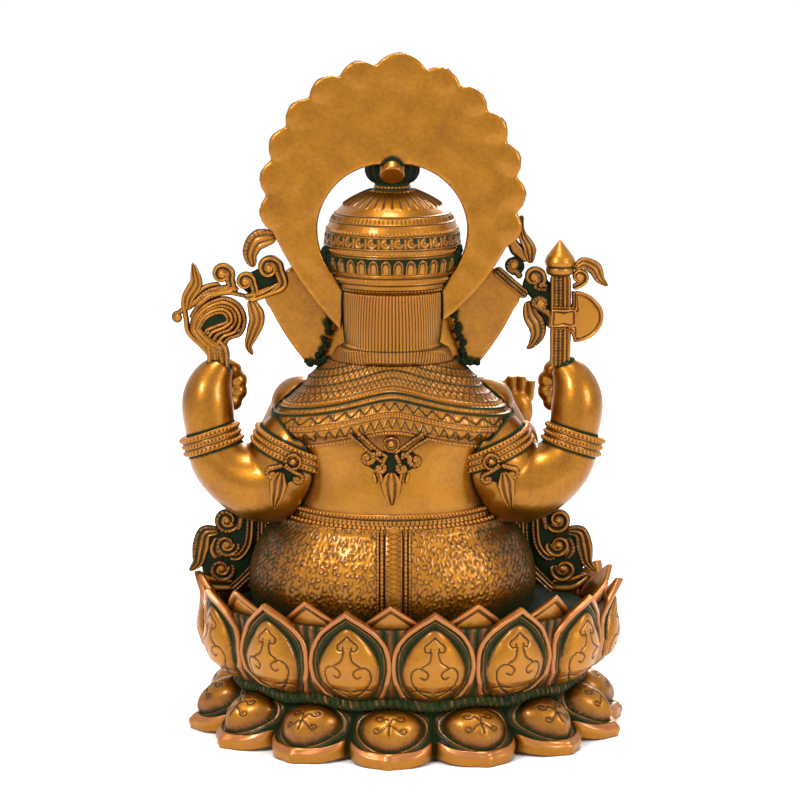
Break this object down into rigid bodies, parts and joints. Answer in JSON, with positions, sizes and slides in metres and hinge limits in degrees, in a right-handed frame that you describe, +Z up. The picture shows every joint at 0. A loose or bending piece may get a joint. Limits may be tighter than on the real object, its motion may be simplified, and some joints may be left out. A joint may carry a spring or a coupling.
{
  "type": "seated elephant-headed idol",
  "caption": "Cast brass four-armed elephant-headed figure seated in a double lotus, with a scalloped aureole behind its tiered crown.",
  "frame": {"origin": "on the resting plane, below the middle of the whole object's box", "axes": "+Z up from the resting plane; the figure faces -Y, so its left hand is on the +X side"},
  "size_m": [0.3051, 0.2037, 0.4499],
  "materials": {
    "brass": "lacquered antique brass",
    "steel_fixings": "plain"
  },
  "bodies": {
    "root": {"lower_lotus": "brass", "lotus_waist": "brass", "lotus_cup": "brass", "upper_petals": "brass", "rear_petals": "brass", "seat_plate": "brass", "fixing_bolts": "steel_fixings", "fixing_washers": "steel_fixings", "hips": "brass", "torso": "brass", "shoulder_shawl": "brass", "waist_belt": "brass", "back_sash": "brass", "back_pendant": "brass", "left_rear_arm": "brass", "left_armlet": "brass", "left_rear_hand": "brass", "left_rear_bracelet": "brass", "left_front_arm": "brass", "left_front_hand": "brass", "left_front_bracelet": "brass", "left_leg": "brass", "left_foot": "brass", "left_anklet": "brass", "right_rear_arm": "brass", "right_armlet": "brass", "right_rear_hand": "brass", "right_rear_bracelet": "brass", "right_front_arm": "brass", "right_front_hand": "brass", "right_front_bracelet": "brass", "right_leg": "brass", "right_foot": "brass", "right_anklet": "brass", "head": "brass", "trunk": "brass", "hair": "brass", "crown": "brass", "crown_finial": "brass", "crown_crest": "brass", "aureole": "brass", "aureole_bosses": "brass", "aureole_lug": "brass", "necklace": "brass", "left_ear": "brass", "left_tusk": "brass", "right_ear": "brass", "right_tusk": "brass", "left_vine": "brass", "noose_emblem": "brass", "axe_shaft": "brass", "axe_finial": "brass", "axe_blade": "brass", "right_vine": "brass", "left_side_scroll": "brass", "right_side_scroll": "brass", "sweet_bowl": "brass", "sweets": "brass"}
  },
  "joints": []
}
